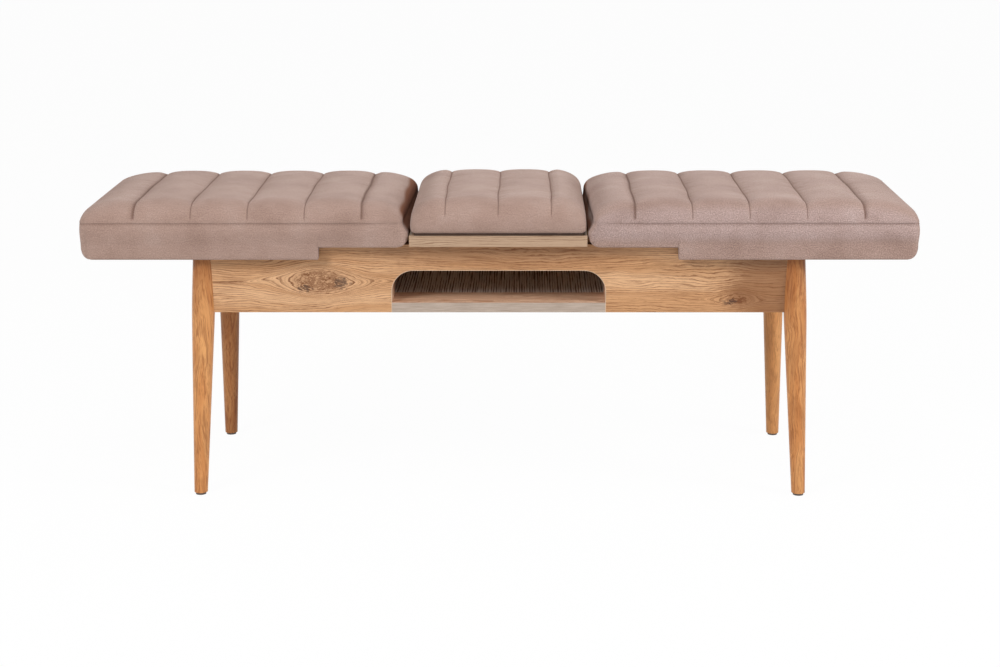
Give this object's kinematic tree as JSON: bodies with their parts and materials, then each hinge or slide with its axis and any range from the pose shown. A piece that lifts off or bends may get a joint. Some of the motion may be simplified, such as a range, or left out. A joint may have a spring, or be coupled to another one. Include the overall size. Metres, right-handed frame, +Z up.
{
  "type": "extending upholstered bench",
  "caption": "Extending dining bench: channelled upholstered seat halves slide apart on a wooden apron frame with splayed legs, a loose padded leaf fills the gap, and an open shelf sits below.",
  "frame": {"origin": "on the floor under the middle of the bench", "axes": "+X along the bench to the sitter's left as seen from the back, to the right in the picture; -Y towards the picture's front; +Z up"},
  "size_m": [1.4, 0.3692, 0.5053],
  "materials": {
    "seat_fabric": "dusty pink-beige velvet with a mottled nap",
    "foam": "open-cell upholstery foam",
    "apron_oak": "golden oak decor, matt, knots and long grain",
    "leaf_oak": "pale oak decor edge, matt",
    "shelf_oak": "grey-brown oak decor, matt",
    "leg_wood": "solid wood, stained warm brown, satin lacquer",
    "beech": "bare beech",
    "board": "bare particle board",
    "plywood": "bare plywood",
    "edging": "matt edge banding",
    "nylon": "natural nylon",
    "steel": "bright zinc plate"
  },
  "bodies": {
    "frame": {"front_apron": "apron_oak", "rear_apron": "apron_oak", "left_apron": "apron_oak", "right_apron": "apron_oak", "opening_edging": "edging", "front_left_leg": "leg_wood", "front_right_leg": "leg_wood", "rear_left_leg": "leg_wood", "rear_right_leg": "leg_wood", "foot_glides": "nylon", "apron_dowels": "beech", "corner_blocks": "beech", "block_dowels": "beech", "hanger_bolts": "steel", "hanger_washers": "steel", "hanger_nuts": "steel", "storage_shelf": "shelf_oak", "storage_left_wall": "shelf_oak", "storage_right_wall": "shelf_oak", "storage_dowels": "beech", "shelf_screws": "steel", "front_guide_rail": "beech", "rear_guide_rail": "beech", "rail_screws": "steel", "slide_buttons": "nylon"},
    "left_seat": {"left_seat_board": "board", "left_front_skirt": "board", "left_rear_skirt": "board", "left_end_skirt": "board", "left_seat_foam": "foam", "left_seat_cover": "seat_fabric", "left_front_runner": "beech", "left_rear_runner": "beech", "left_runner_screws": "steel", "left_skirt_screws": "steel"},
    "right_seat": {"right_seat_board": "board", "right_front_skirt": "board", "right_rear_skirt": "board", "right_end_skirt": "board", "right_seat_foam": "foam", "right_seat_cover": "seat_fabric", "right_front_runner": "beech", "right_rear_runner": "beech", "right_runner_screws": "steel", "right_skirt_screws": "steel"},
    "leaf": {"leaf_board": "leaf_oak", "leaf_front_batten": "beech", "leaf_rear_batten": "beech", "leaf_pad_base": "plywood", "leaf_foam": "foam", "leaf_cover": "seat_fabric", "leaf_batten_screws": "steel", "leaf_pad_screws": "steel"}
  },
  "joints": [
    {"name": "left_seat_slide", "type": "slide", "parent": "frame", "child": "left_seat", "axis": [-1, 0, 0], "range_m": [0, 0.03]},
    {"name": "right_seat_slide", "type": "slide", "parent": "frame", "child": "right_seat", "axis": [1, 0, 0], "range_m": [0, 0.03]},
    {"name": "leaf_lift", "type": "slide", "parent": "frame", "child": "leaf", "axis": [0, 0, 1], "range_m": [0, 0.15]}
  ]
}
